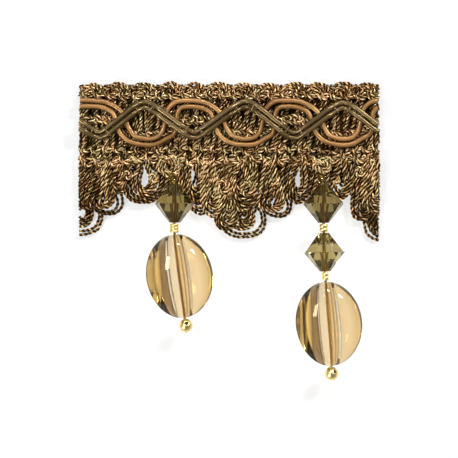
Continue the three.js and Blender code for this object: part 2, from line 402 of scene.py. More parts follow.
def strandMaterial(name, look):
    material, tree, shader = newMaterial(name)
    shade = tree.nodes.new("ShaderNodeGroup")
    shade.node_tree = shadeGroup
    for label in ("Dark", "Middle", "Light"):
        shade.inputs[label].default_value = (*look[label.lower()], 1)
    shade.inputs["Patch Size"].default_value = look["patchSize"]
    shade.inputs["Patch Strength"].default_value = look["patchStrength"]
    shade.inputs["Hue Change"].default_value = look["hueChange"]
    fibres = tree.nodes.new("ShaderNodeGroup")
    fibres.node_tree = fibreGroup
    fibres.inputs["Count"].default_value = look["fibres"]
    fibres.inputs["Slant"].default_value = look["slant"]
    fibres.inputs["Roughen"].default_value = look["roughen"]
    bump = addNode(tree, "ShaderNodeBump", Strength=look["bump"], Distance=look["bumpDepth"])
    tree.links.new(fibres.outputs["Height"], bump.inputs["Height"])
    tree.links.new(shade.outputs["Color"], shader.inputs["Base Color"])
    tree.links.new(bump.outputs[0], shader.inputs["Normal"])
    shader.inputs["Roughness"].default_value = look["roughness"]
    shader.inputs["Metallic"].default_value = look["metallic"]
    shader.inputs["IOR"].default_value = look["ior"]
    shader.inputs["Specular IOR Level"].default_value = look["specular"]
    shader.inputs["Specular Tint"].default_value = (*look["specularTint"], 1)
    return material


rayonLook = {
    "dark": (0.005, 0.003, 0.001),
    "middle": (0.125, 0.056, 0.01),
    "light": (0.86, 0.63, 0.4),
    "patchSize": 330.0,
    "patchStrength": 0.75,
    "hueChange": 1.0,
    "fibres": 7.0,
    "slant": 0.5,
    "roughen": 0.5,
    "bump": 0.5,
    "bumpDepth": 0.00004,
    "roughness": 0.24,
    "metallic": 0.3,
    "specular": 0.9,
    "ior": 1.5,
    "specularTint": (1.0, 0.74, 0.34),
}
yarnShade = strandMaterial("rayonYarn", rayonLook)
copperShade = strandMaterial("copperGimp", dict(
    rayonLook, dark=(0.02, 0.008, 0.002), middle=(0.15, 0.068, 0.021), light=(0.5, 0.27, 0.115),
    patchSize=90.0, patchStrength=0.35, fibres=1.0, slant=6.5, roughen=0.2, bump=0.25, roughness=0.24,
    specular=1.0, hueChange=0.3,
))
oliveShade = strandMaterial("oliveGimp", dict(
    rayonLook, dark=(0.008, 0.005, 0.002), middle=(0.062, 0.041, 0.016), light=(0.24, 0.165, 0.08),
    patchSize=90.0, patchStrength=0.3, fibres=1.0, slant=6.5, roughen=0.2, bump=0.22, roughness=0.2,
    specular=1.0, hueChange=0.3,
))
stitchShade = strandMaterial("couchingThread", dict(
    rayonLook, dark=(0.1, 0.07, 0.03), middle=(0.24, 0.16, 0.075), light=(0.45, 0.33, 0.18),
    patchStrength=0.2, fibres=5.0, hueChange=0.0,
))
print("materials for the strands are ready")


# Heading: yarns that run up from the fringe, turn in a picot and run down again

heading = {
    "picotHeights": [0.64, 0.8, 0.72, 0.84, 0.7, 0.86, 0.74, 0.6, 0.86, 0.7, 0.86, 0.75],
    "turnWidths": [2.3, 1.45, 0.7],   # half widths of the nested turns
    "bundleMiddle": 1.32,
    "pinch": 0.72,
    "lean": 0.05,
    "foot": 15.2,
    "low": 0.86,
    "crown": 1.12,
    "fanReach": 4.6,
    "fanPull": 0.3,
    "fanY": 19.6,
    "fanSpread": 2.6,
    "leanFrom": 23,   # the height at which a leaning strand keeps its place
    "topMargin": 0.42,
    "turnDrop": 0.76,
    "tone": (0.06, 0.36),
    "yarn": yarnSizes(0.385, 0.2, 1.75, 6, 0.3, 0.66),
    "step": 0.24,
}
backYarns = {
    "spacing": 0.66,
    "low": 14.9,
    "high": 30.85,
    "height": 0.62,
    # set lower than the yarns in front: painted shade
    "tone": (-0.2, 0.3),
    "yarn": yarnSizes(0.38, 0.205, 2.4, 5, 0.2, 0.34),
    "step": 0.34,
}
rowFields = ("y", "sway", "height", "pitch", "half", "kind", "strands", "tone")
chainRows = [dict(zip(rowFields, row)) for row in (
    (30.35, 0, 0.95, 2.1, 0.3, "scallop", 1, 0.06),
    (28.7, 0.12, 1.5, 2.64, 0.42, "scallop", 2, 0.14),
    (21.5, 1.8, 1.4, 1.9, 0.6, "chain", 1, 0.28),
    (16.9, 0.3, 1.42, 2.3, 0.5, "scallop", 1, 0.26),
    (15.2, -0.25, 1.9, 2.75, 0.62, "scallop", 2, 0.26),
)]
chain = {
    "lift": 0.26,
    "scallopLift": 0.42,
    "strandDrop": 0.62,
    "toneSpread": 0.25,
    "yarn": yarnSizes(0.38, 0.205, 2.2, 6, 0.28, 0.62),
    "step": 0.24,
}
wave = {"repeat": 20.68, "firstLowerArc": -37.98}


def rowY(row, x):
    phase = 2 * math.pi * (x - wave["firstLowerArc"]) / wave["repeat"]
    return row["y"] - row["sway"] * math.cos(phase)


def fanShift(x, y):
    # the strands in each lower eye draw together towards its foot
    arcs = [wave["firstLowerArc"] + i * wave["repeat"] for i in range(5)]
    nearest = min(arcs, key=lambda arc: abs(arc - x))
    across = (nearest - x) / heading["fanReach"]
    if abs(across) > 1:
        return 0.0
    near = math.exp(-((y - heading["fanY"]) / heading["fanSpread"]) ** 2)
    return heading["fanPull"] * near * (nearest - x) * (1 - across * across)


def legPoints(centre, side, halfWidth):
    # one leg from the foot up to just under its turn
    middle = centre + side * heading["bundleMiddle"]
    free = centre + side * halfWidth
    tight = middle + (free - middle) * heading["pinch"]
    rows = [rowY(row, middle) for row in chainRows[1:4]][::-1]
    levels = [heading["foot"], rows[0], (rows[0] + rows[1]) / 2, rows[1], (rows[1] + rows[2]) / 2, rows[2]]
    pinched = [False, True, False, True, False, True]
    points = []
    for y, held in zip(levels, pinched):
        x = (tight if held else free) + heading["lean"] * (y - heading["leanFrom"])
        z = heading["low"] if held else heading["crown"]
        jitter = dice.normal(0, 0.2, 3)
        x = x + fanShift(x, y) + jitter[0]
        points.append((x, y + jitter[1] * 0.4, z + jitter[2] * 0.7))
    return points


def makeHeadingYarns():
    stores = [newStore(), newStore()]
    picots = heading["picotHeights"]
    pitch = 2 * halfLength / len(picots)
    body = headingHigh - max(picots)
    for i, height in enumerate(picots):
        centre = -halfLength + (i + 0.5) * pitch + dice.normal(0, 0.12)
        for depth, halfWidth in enumerate(heading["turnWidths"]):
            top = body + height - heading["topMargin"] - heading["turnDrop"] * depth
            top += dice.normal(0, 0.1) if depth else 0
            lean = heading["lean"] * (top - heading["leanFrom"])
            left = legPoints(centre, -1, halfWidth)
            right = legPoints(centre, 1, halfWidth)
            rise = dice.normal(0, 0.08, 5)
            arch = [
                (centre - halfWidth + lean, top - halfWidth * 0.7 - 0.1, 1.0 + rise[0]),
                (centre - halfWidth * 0.68 + lean, top - halfWidth * 0.17 + rise[1], 1.08),
                (centre + lean, top, 1.0 + rise[2]),
                (centre + halfWidth * 0.68 + lean, top - halfWidth * 0.17 + rise[3], 1.08),
                (centre + halfWidth + lean, top - halfWidth * 0.7 - 0.1, 1.0 + rise[4]),
            ]
            path = smoothPath(left + arch + right[::-1], heading["step"])
            path = path + wander(len(path), 0.09, 5) * np.array([1.0, 1.0, 1.3])
            tone = someTone(*heading["tone"])
            for run in cutEnds(path, halfLength):
                addYarn(stores[i % 2], run, heading["yarn"], tone)
    return stores


def makeBackYarns():
    # a lower layer of strands that shows between those in front, with a tone set lower than theirs: painted
    # shade
    store = newStore()
    x = -halfLength - 1
    while x < halfLength + 1:
        points = []
        for y in np.linspace(backYarns["low"], backYarns["high"], 9):
            jitter = dice.normal(0, 0.16, 3)
            across = x + heading["lean"] * (y - heading["leanFrom"]) + jitter[0]
            points.append((across + fanShift(across, y), y, backYarns["height"] + 0.5 * jitter[2]))
        for run in cutEnds(smoothPath(points, backYarns["step"]), halfLength):
            addYarn(store, run, backYarns["yarn"], someTone(*backYarns["tone"]))
        x += backYarns["spacing"]
    return store


def chainPath(row):
    # a row of chain stitches, each loop drawn through the one before
    pitch, half = row["pitch"], row["half"]
    # places along the row, across it and up
    stitch = [
        (0.0, 0.0, -0.9), (0.55, -0.9, 0.2), (1.25, -1.0, 1.0),
        (1.72, 0.0, 1.0), (1.25, 1.0, 1.0), (0.6, 0.85, 0.2),
    ]
    points = []
    count = int(2 * halfLength / pitch) + 4
    for i in range(count):
        x = -halfLength - pitch + i * pitch
        drop = dice.normal(0, 0.14)
        size = 1 + dice.normal(0, 0.12)
        for along, up, lift in stitch:
            jitter = dice.normal(0, 0.08, 3)
            px = x + along * pitch + jitter[0]
            py = rowY(row, px) + up * half * size + drop + jitter[1]
            points.append((px, py, row["height"] + lift * chain["lift"] + jitter[2]))
    return smoothPath(points, chain["step"])


def scallopPath(row, strand):
    # a laid yarn that dips between the strands and bows downwards over them
    pitch, half = row["pitch"], row["half"]
    bow = [(0.0, 1.0, -0.9), (0.2, -0.15, 0.1), (0.5, -1.0, 1.0), (0.8, -0.15, 0.1)]
    points = []
    count = int(2 * halfLength / pitch) + 4
    for i in range(count):
        x = -halfLength - pitch + (i + 0.12 * strand) * pitch
        size = 1 + dice.normal(0, 0.18)
        drop = dice.normal(0, 0.12) - chain["strandDrop"] * strand
        for along, up, lift in bow:
            jitter = dice.normal(0, 0.08, 3)
            px = x + along * pitch + jitter[0]
            py = rowY(row, px) + up * half * size + drop + jitter[1]
            points.append((px, py, row["height"] + lift * chain["scallopLift"] + 0.12 * strand + jitter[2]))
    return smoothPath(points, chain["step"])


def makeChains(rows):
    store = newStore()
    for row in rows:
        for strand in range(row["strands"]):
            path = chainPath(row) if row["kind"] == "chain" else scallopPath(row, strand)
            for run in cutEnds(path, halfLength):
                addYarn(store, run, chain["yarn"], someTone(row["tone"], chain["toneSpread"]))
    return store


headingPieces = []
for index, store in enumerate(makeHeadingYarns()):
    headingPieces.append(makeObject(f"headingYarns{index + 1}", store, yarnShade))
finishPiece(headingPieces[0], "heading_yarn", "heading_band")
finishPiece(headingPieces[1], "heading_yarn")
finishPiece(makeObject("headingBackYarns", makeBackYarns(), yarnShade), "heading_yarn")
finishPiece(makeObject("headingChains", makeChains(chainRows), yarnShade), "heading_yarn")


# Ground of the heading: a thin knitted sheet that backs the yarns, coloured as dark as yarn in shade: its
# knit is its own, its dark colour is painted shade where it shows between them

ground = {"low": 15.0, "high": 30.6, "under": 0.05, "thickness": 0.25, "acrossSteps": 26, "alongSteps": 96}


def groundMaterial():
    material, tree, shader = newMaterial("knittedGroundInPaintedShade")
    place = tree.nodes.new("ShaderNodeTexCoord")
    ribs = addNode(tree, "ShaderNodeTexWave", Scale=180.0, Distortion=3.0, Detail=2.0, Detail_Scale=2.0)
    tree.links.new(place.outputs["Object"], ribs.inputs["Vector"])
    # knit ribs from near-black to dark brown: painted shade where the ground shows between the yarns
    colour = rampNode(tree, ribs.outputs["Fac"], [(0.0, (0.03, 0.018, 0.008)), (1.0, (0.12, 0.075, 0.03))])
    bump = addNode(tree, "ShaderNodeBump", Strength=0.6, Distance=0.0002)
    tree.links.new(ribs.outputs["Fac"], bump.inputs["Height"])
    tree.links.new(colour, shader.inputs["Base Color"])
    tree.links.new(bump.outputs[0], shader.inputs["Normal"])
    shader.inputs["Roughness"].default_value = 0.7
    return material


def makeGround():
    along = np.linspace(-halfLength + 0.05, halfLength - 0.05, ground["alongSteps"] + 1)
    across = np.linspace(ground["low"], ground["high"], ground["acrossSteps"] + 1)
    gridX, gridY = np.meshgrid(along, across, indexing="ij")
    ripple = 0.03 * np.sin(gridX * 1.7) * np.cos(gridY * 1.3)
    points = []
    for lift in (0.0, ground["thickness"]):
        height = ground["under"] + lift + ripple + 0.03
        points.append(np.stack([gridX, gridY, height], axis=-1).reshape(-1, 3))
    points = np.concatenate(points) * mm
    rows, columns = len(along), len(across)
    layer = rows * columns
    faces = []
    for i in range(rows - 1):
        for j in range(columns - 1):
            a, b = i * columns + j, (i + 1) * columns + j
            faces.append((a, a + 1, b + 1, b))
            faces.append((layer + a, layer + b, layer + b + 1, layer + a + 1))
    rim = [i * columns for i in range(rows)]
    rim += [(rows - 1) * columns + j for j in range(1, columns)]
    rim += [i * columns + columns - 1 for i in range(rows - 2, -1, -1)]
    rim += list(range(columns - 2, 0, -1))
    for a, b in zip(rim, rim[1:] + rim[:1]):
        faces.append((a, b, b + layer, a + layer))
    mesh = bpy.data.meshes.new("headingGround")
    mesh.from_pydata(points.tolist(), [], faces)
    mesh.validate()
    return placeMesh("headingGround", mesh, groundMaterial())


groundSheet = finishPiece(makeGround(), "heading_yarn")
print("heading is made")


# Gimp cords, couched on the heading

gimp = {
    "diameter": 1.08,
    "spacing": 1.18,
    "paintedRidgeShade": 0.6,
    "sides": 16,
    "step": 0.2,
    "low": 2.36,
    "lift": 1.16,
    "crossingFlat": 2.3,
    "crossingFoot": 4.7,
    "crossings": [5.02, 15.13],
    "turnSharpness": 0.93,
    "end": 31.4,
    "stitches": [-1.75, 1.6],
    "stitchRadius": 0.12,
}
zigzagTurns = [
    (-37.9, 26.4), (-27.4, 20.1), (-17.8, 26.4), (-7.4, 20.1),
    (3.5, 26.6), (13.7, 20.0), (24.0, 26.3), (34.1, 20.0),
]
waveAbove = [
    (0, 19.2), (2.3, 19.8), (2.95, 20.5), (3.7, 22.6), (4.36, 25.5), (5.72, 26.85), (9.23, 27.35),
    (12.02, 26.95), (14.56, 25.6), (15.45, 24.7), (17.0, 21.2), (17.84, 20.05), (19.26, 19.45),
]
waveBelow = [
    (0, 17.95), (2.33, 18.3), (3.95, 19.2), (5.72, 20.3), (6.2, 22.6), (6.44, 24.7), (7.1, 25.7), (9.1, 26.1),
    (12.02, 25.6), (13.23, 24.9), (13.97, 23.4), (15.05, 20.37), (16.28, 19.1), (18.6, 18.2),
]


def zigzagMiddle(x):
    after = next(i for i, turn in enumerate(zigzagTurns) if turn[0] > x)
    (x0, y0), (x1, y1) = zigzagTurns[after - 1], zigzagTurns[after]
    sharp = gimp["turnSharpness"]
    rounded = math.asin(sharp * math.cos(math.pi * (x - x0) / (x1 - x0))) / math.asin(sharp)
    return (y0 + y1) / 2 + (y0 - y1) / 2 * rounded


def zigzagHeight(x):
    arcs = [wave["firstLowerArc"] + i * wave["repeat"] for i in range(5)]
    nearest = min(abs(x - arc - place) for arc in arcs for place in gimp["crossings"])
    share = (nearest - gimp["crossingFlat"]) / (gimp["crossingFoot"] - gimp["crossingFlat"])
    share = min(1.0, max(0.0, share))
    return gimp["low"] + gimp["lift"] * (1 - share * share * (3 - 2 * share))


def zigzagPath(side):
    points = []
    for x in np.arange(-halfLength - 0.5, halfLength + 0.51, 0.25):
        slope = (zigzagMiddle(x + 0.01) - zigzagMiddle(x - 0.01)) / 0.02
        y = zigzagMiddle(x) + side * gimp["spacing"] / 2 * math.hypot(1, slope)
        points.append((x, y, zigzagHeight(x)))
    return smoothPath(points, gimp["step"])


def wavePath(repeat):
    points = []
    for i in range(4):
        arc = wave["firstLowerArc"] + i * wave["repeat"]
        for along, up in repeat:
            # the cut end lies a little inside its arc
            stretch = 1.3 if i == 0 and along < 8 else 0
            points.append((arc + along - stretch, up, gimp["low"]))
    return smoothPath(points, gimp["step"])


def makeCord(name, path, material, tone, slotName, node):
    store = newStore()
    for run in cutEnds(path, gimp["end"]):
        run = run + wander(len(run), 0.035, 9) * np.array([1.0, 1.0, 0.4])
        above = sideVectors(run)[1]
        along = np.arange(len(run)) * gimp["step"]
        radius = gimp["diameter"] / 2 * (1 + 0.03 * np.sin(along * 2.1 + dice.uniform(0, 6)))
        toneAlong = tone + 0.08 * np.sin(along / 7 + dice.uniform(0, 6))
        # the top of each cord is painted paler and its sides darker: painted highlight and painted shade
        addTube(store, run, above, radius, gimp["sides"], toneAlong, gimp["paintedRidgeShade"])
    return finishPiece(makeObject(name, store, material), slotName, node)


def makeStitches():
    # two fine stitches hold the zigzag pair on each side of every turn
    store = newStore()
    reach = gimp["spacing"] / 2 + gimp["diameter"] / 2
    for turn, _ in zigzagTurns:
        for offset in gimp["stitches"]:
            x = turn + offset + dice.normal(0, 0.12)
            if abs(x) > gimp["end"] - 1:
                continue
            slope = (zigzagMiddle(x + 0.01) - zigzagMiddle(x - 0.01)) / 0.02
            across = np.array([-slope, 1.0, 0.0]) / math.hypot(1, slope)
            across = across + np.array([dice.normal(0, 0.12), 0, 0])
            centre = np.array([x, zigzagMiddle(x), zigzagHeight(x)])
            crown = gimp["diameter"] / 2 + 0.1
            shape = [(-reach - 0.12, -0.5), (-reach + 0.08, 0.3)]
            shape += [(-gimp["spacing"] / 2, crown), (0, crown - 0.22)]
            shape += [(-along, lift) for along, lift in shape[2::-1]]
            points = [centre + across * along + np.array([0, 0, lift]) for along, lift in shape]
            path = smoothPath(points, 0.12)
            above = sideVectors(path)[1]
            addTube(store, path, above, gimp["stitchRadius"], 6, 0.3 + 0.4 * dice.random())
    return finishPiece(makeObject("couchingStitches", store, stitchShade), "heading_yarn")


makeCord("zigzagCordUpper", zigzagPath(1), oliveShade, 0.12, "olive_gimp", "zigzag_cord_1")
makeCord("zigzagCordLower", zigzagPath(-1), oliveShade, 0.05, "olive_gimp", "zigzag_cord_2")
makeCord("waveCordUpper", wavePath(waveAbove), copperShade, 0.2, "copper_gimp", "wave_cord_1")
makeCord("waveCordLower", wavePath(waveBelow), copperShade, 0.15, "copper_gimp", "wave_cord_2")
makeStitches()
print("gimp cords are made")


# Loop fringe: rings of yarn that hang from the heading, in overlapping layers

fringe = {
    "top": 15.4,
    "ringSpacing": 0.76,
    "layerHeight": [0.82, 1.6, 2.5],
    # lower layers of loops are painted darker and the top one paler, rings underneath and the back loops
    # darker still: painted shade
    "paintedLayerShade": [-0.14, 0.0, 0.08],
    "underDrop": 0.45,
    "paintedUnderShade": -0.55,
    "paintedBackShade": -0.1,
    "tone": (-0.04, 0.18),
    "ringTone": (-0.12, 0.2),
    "neckSpacing": 0.3,
    "rise": 0.62,
    "yarn": yarnSizes(0.375, 0.192, 1.95, 6, 0.3, 0.68),
    "step": 0.25,
}
# each loop as read from the photo, in pixels: the root and tip across, the lowest point, the sides,
# then the eye's middle and half sizes; the layer and the slack of the outer rings come last
photo = {"pixel": 0.2117, "middleX": 229, "middleY": 229.85}
loopReadings = [
    (84, 82, 234, 58, 99, 82, 213, 1.5, 5, 0, 0.8),
    (90, 88, 210, 72, 103, 88, 193, 1.6, 5, 1, 0),
    (112, 107, 214, 91, 120, 106, 202, 1.6, 4, 0, 0.8),
    (106, 101, 209.5, 86, 114.5, 103, 197.5, 2.6, 4.5, 2, 0),
    (118, 117, 195, 107, 127, 117, 178, 0.8, 4, 1, 0),
    (143, 144, 204.5, 121, 167, 144.5, 178.5, 3.4, 7.6, 1, 0),
    (168, 167, 189, 156, 178, 167, 172, 0.5, 3, 0, 0),
    (190, 204, 214.5, 178, 209, 194.5, 177.5, 3.2, 9.5, 1, 0),
    (208, 213, 218, 200, 222.5, 212, 190, 1.0, 5, 2, 0),
    (234, 244, 237, 218, 264, 243, 216, 1.4, 5, 0, 0.8),
    (223, 226, 231.5, 213, 238, 226, 211, 1.0, 5, 1, 0),
    (241, 243, 213, 226, 258, 240, 178, 4.2, 9, 2, 0),
    (284, 279, 216, 263, 289, 278, 204, 1.6, 4, 0, 0.8),
    (269, 271, 212.5, 257, 285.5, 273, 201, 2.4, 4.5, 2, 0),
    (300, 299, 204, 281.5, 317, 297.5, 179, 2.2, 9, 2, 0),
    (341, 340, 201, 325.5, 353, 341, 180.5, 3.6, 8.5, 2, 0),
    (358, 361.5, 222, 351, 373, 363, 203, 2.0, 5, 1, 0),
    (374, 384, 242, 362, 400, 384, 208, 0.6, 5, 0, 0),
    (371, 373, 213, 361, 388, 374, 190, 1.0, 5, 2, 0),
]


def loopRow(root, tip, low, left, right, eyeX, eyeY, eyeHalf, eyeHigh, layer, slack):
    def across(place):
        return round((place - photo["middleX"]) * photo["pixel"], 1)

    def up(place):
        return round((photo["middleY"] - place) * photo["pixel"], 1)

    eye = (across(eyeX), up(eyeY), round(eyeHalf * photo["pixel"], 2), round(eyeHigh * photo["pixel"], 2))
    return {"root": across(root), "tip": across(tip), "low": up(low), "left": across(left),
            "right": across(right), "eye": eye, "layer": layer, "slack": slack}


loopRows = [loopRow(*reading) for reading in loopReadings]
# short loops at the back, which close the gaps between the tops of the others
fillRows = [
    {"root": x, "tip": x + 0.2, "low": low, "left": x - 2.8, "right": x + 3.0,
     "eye": (x, low + 3.2, 0, 0.3), "layer": 0, "slack": 0}
    for x, low in (
        (-30.6, 6.0), (-28.2, 6.4), (-25.8, 7.0), (-23.4, 8.6), (-21.0, 12.4), (-15.0, 12.4), (-13.0, 9.0),
        (-11.4, 8.4), (-9.4, 12.6), (-5.2, 6.2), (-4.2, 5.2), (-1.8, 4.2), (0.6, 2.4), (3.0, 2.0), (5.4, 4.2),
        (7.8, 6.2), (10.2, 6.8), (12.2, 12.6), (17.2, 12.2), (18.4, 9.0), (20.6, 9.0), (22.4, 9.6),
        (25.6, 8.6), (27.8, 6.4), (30.0, 4.6), (31.8, -0.4),
    )
]


def ringPath(row, ring, rings):
    # the rings lie between the loop's outline and its eye, close above it and run up side by side as a neck
    yarnRadius = fringe["yarn"]["radius"]
    eyeX, eyeY, eyeHalf, eyeHigh = row["eye"]
    share = ring / max(1, rings - 1)
    inner = rings - 1 - ring
    slack = row["slack"] if ring < 2 else 0

    def between(outer, inside):
        return outer + (inside - outer) * share

    left = between(row["left"] + yarnRadius, eyeX - eyeHalf - yarnRadius) - 0.2 * slack
    right = between(row["right"] - yarnRadius, eyeX + eyeHalf + yarnRadius) + slack
    low = between(row["low"] + yarnRadius, eyeY - eyeHigh - yarnRadius) - 0.5 * slack
    tip = between(row["tip"], eyeX) + 0.3 * slack
    belly = between(eyeY - 0.3 * (eyeY - row["low"]), eyeY)
    middle, half = (left + right) / 2, (right - left) / 2
    top = fringe["top"] - 0.25 * ring
    shoulder = min(eyeY + eyeHigh + yarnRadius + fringe["rise"] * inner * fringe["ringSpacing"], top - 0.9)
    closing = 0.4 + 0.2 * min(2, inner)
    neckY = (shoulder + top) / 2
    neck = (inner + 0.5) * fringe["neckSpacing"]
    height = fringe["layerHeight"][row["layer"]]
    lowered = height - 0.18 * row["layer"]
    bend = low + 0.3 * (belly - low)

    def leaning(y):
        return middle + (row["root"] - middle) * max(0.0, (y - belly) / (top - belly))

    points = [
        (row["root"] - neck, top, height - 0.15),
        (leaning(neckY) - (neck * 0.6 + 0.34 * half), neckY, height + 0.1),
        (leaning(shoulder) - max(closing * half, neck), shoulder, height + 0.12),
        (left, belly, lowered),
        (tip - 0.72 * (tip - left), bend, lowered),
        (tip, low, lowered),
        (tip + 0.72 * (right - tip), bend, lowered),
        (right, belly, lowered),
        (leaning(shoulder) + max(closing * half, neck), shoulder, height + 0.12),
        (leaning(neckY) + (neck * 0.6 + 0.34 * half), neckY, height + 0.1),
        (row["root"] + neck, top, height - 0.15),
    ]
    loose = 0.08 if slack == 0 else 0.04
    points = np.array(points) + dice.normal(0, loose, (len(points), 3)) * np.array([1, 1, 1.3])
    return smoothPath(points, fringe["step"])


def countRings(row):
    eyeX, eyeY, eyeHalf, eyeHigh = row["eye"]
    widths = [eyeX - eyeHalf - row["left"], row["right"] - eyeX - eyeHalf, eyeY - eyeHigh - row["low"]]
    return 1 + round((sum(widths) / 3 - 2 * fringe["yarn"]["radius"]) / fringe["ringSpacing"])


def makeLoops(rows, backFill=False):
    store = newStore()
    yarn = fringe["yarn"]
    for row in rows:
        rings = countRings(row)
        # loops in lower layers and at the back are painted darker: painted shade
        loopTone = someTone(*fringe["tone"]) + fringe["paintedLayerShade"][row["layer"]]
        loopTone += fringe["paintedBackShade"] if backFill else 0
        under = [] if backFill else [ring + 0.5 for ring in range(2 if row["slack"] else 0, rings - 1)]
        for ring in list(range(rings)) + under:
            path = ringPath(row, ring, rings)
            path = path + wander(len(path), 0.06, 5)
            if backFill or ring in under:
                path[:, 2] -= fringe["underDrop"]
            path[:, 2] = np.maximum(path[:, 2], yarn["radius"] + 0.01)
            tone = loopTone + dice.uniform(*fringe["ringTone"])
            # rings that lie under others are painted much darker: painted shade
            tone += fringe["paintedUnderShade"] if ring in under else 0
            for run in cutEnds(path, halfLength):
                addYarn(store, run, yarn, tone)
    return store


fringePieces = [
    makeObject("fringeLoopsLeft", makeLoops(loopRows[:7]), yarnShade),
    makeObject("fringeLoopsMiddle", makeLoops(loopRows[7:14]), yarnShade),
    makeObject("fringeLoopsRight", makeLoops(loopRows[14:]), yarnShade),
    makeObject("fringeLoopsBack", makeLoops(fillRows, backFill=True), yarnShade),
]
finishPiece(fringePieces[0], "fringe_yarn", "loop_fringe")
for piece in fringePieces[1:]:
    finishPiece(piece, "fringe_yarn")
print("loop fringe is made")


# Knots: each drop's thread leaves from a rosette of yarn, and stray curls lie among the loops

knots = [
    {"x": -12.7, "y": 13.5, "size": 2.35, "petals": 5, "turns": 2, "height": 2.9},
    {"x": 19.5, "y": 13.4, "size": 1.7, "petals": 4, "turns": 2, "height": 2.7},
]
curls = [
    {"x": -15.9, "y": 11.0, "size": 0.75, "height": 2.3},
    {"x": -21.4, "y": 11.6, "size": 0.7, "height": 2.1},
    {"x": -1.2, "y": 9.0, "size": 1.1, "height": 2.6},
    {"x": 3.9, "y": 8.6, "size": 1.25, "height": 2.6},
    {"x": 22.5, "y": 10.6, "size": 0.7, "height": 2.2},
    {"x": 9.6, "y": 10.2, "size": 0.8, "height": 2.5},
    {"x": -27.2, "y": 12.4, "size": 0.8, "height": 2.5},
    {"x": 27.6, "y": 12.2, "size": 0.8, "height": 2.2},
]


def rosettePath(knot):
    points = []
    for angle in np.arange(0, 2 * math.pi * knot["turns"], 0.22):
        reach = knot["size"] * (0.82 + 0.18 * math.cos(knot["petals"] * 0.5 * angle * 1.03 + 0.4))
        lift = 0.32 * math.sin(knot["petals"] * 0.5 * angle + 1.2) + 0.1 * angle / knot["turns"]
        points.append((
            knot["x"] + reach * math.cos(angle),
            knot["y"] + 0.92 * reach * math.sin(angle),
            knot["height"] + lift - 0.35 * reach / knot["size"],
        ))
    return smoothPath(np.array(points) + dice.normal(0, 0.06, (len(points), 3)), fringe["step"])


def curlPath(curl):
    points = []
    for angle in np.arange(-0.8, 2 * math.pi * 1.25, 0.3):
        reach = curl["size"] * (1.15 - 0.06 * angle)
        points.append((
            curl["x"] + reach * math.cos(angle),
            curl["y"] + 1.2 * reach * math.sin(angle),
            curl["height"] - 0.5 + 0.1 * angle,
        ))
    return smoothPath(points, fringe["step"])


def makeKnots():
    store = newStore()
    for knot in knots:
        addYarn(store, rosettePath(knot), fringe["yarn"], 0.5)
        inner = dict(knot, size=knot["size"] * 0.52, height=knot["height"] + 0.2, turns=1)
        addYarn(store, rosettePath(inner), fringe["yarn"], 0.3)
    for curl in curls:
        addYarn(store, curlPath(curl), fringe["yarn"], 0.3 + 0.4 * dice.random())
    return store


finishPiece(makeObject("knotsAndCurls", makeKnots(), yarnShade), "fringe_yarn")
print("knots are made")


# Bead drops: glass and gilt beads on a fine gold thread

threadPoints = {
    "left": [
        (-12.1, 11.35, 3.55), (-11.8, 10.6, 3.92), (-11.58, 9.85, 4.15), (-11.46, 9.2, 4.2),
        (-11.42, 8.3, 4.2), (-11.4, 7.4, 4.2), (-11.45, 2.0, 4.2), (-11.5, -0.2, 4.2),
        (-11.3, -2.5, 4.2), (-9.0, -20.6, 4.2), (-8.88, -21.5, 4.2),
    ],
    "right": [
        (19.4, 11.35, 3.55), (19.55, 10.6, 3.92), (19.7, 9.85, 4.15), (19.77, 9.2, 4.2), (19.8, 8.2, 4.2),
        (19.82, 7.4, 4.2), (19.9, 0.0, 4.2), (20.15, -7.0, 4.2), (20.3, -10.5, 4.2), (21.5, -29.0, 4.2),
        (21.6, -31.1, 4.2),
    ],
}
threadDiameter = 0.7
boreRadius = 0.5
beadSides = 48


def glassMaterial(name, colour, ior, roughness, glint):
    material, _, shader = newMaterial(name)
    shader.inputs["Base Color"].default_value = (*colour, 1)
    shader.inputs["Roughness"].default_value = roughness
    shader.inputs["IOR"].default_value = ior
    shader.inputs["Metallic"].default_value = 0.0
    shader.inputs["Transmission Weight"].default_value = 1.0
    shader.inputs["Specular Tint"].default_value = (*glint, 1)
    return material


def giltMaterial():
    material, tree, shader = newMaterial("gilt")
    place = tree.nodes.new("ShaderNodeTexCoord")
    noise = addNode(tree, "ShaderNodeTexNoise", Scale=900.0, Detail=3.0)
    tree.links.new(place.outputs["Object"], noise.inputs["Vector"])
    bump = addNode(tree, "ShaderNodeBump", Strength=0.35, Distance=0.0001)
    tree.links.new(noise.outputs[0], bump.inputs["Height"])
    tree.links.new(bump.outputs[0], shader.inputs["Normal"])
    shader.inputs["Base Color"].default_value = (0.95, 0.72, 0.3, 1)
    shader.inputs["Metallic"].default_value = 1.0
    shader.inputs["Roughness"].default_value = 0.3
    return material


# tints for the oval beads: their amber body colour together with painted shade, painted highlight and painted
# refraction, laid on as bands
amberAndPaintedLightTints = {
    "rim": (0.04, 0.012, 0.001),
    "brown": (0.12, 0.045, 0.005),
    "paintedBoreStreak": (0.24, 0.1, 0.02),
    "smoke": (0.115, 0.06, 0.02),
    "amber": (0.36, 0.19, 0.04),
    "honey": (0.6, 0.36, 0.09),
    "gold": (0.8, 0.5, 0.1),
    "straw": (0.83, 0.64, 0.36),
    "cream": (0.98, 0.93, 0.8),
    "back": (0.55, 0.43, 0.25),
    "clear": (0.97, 0.93, 0.85),
}
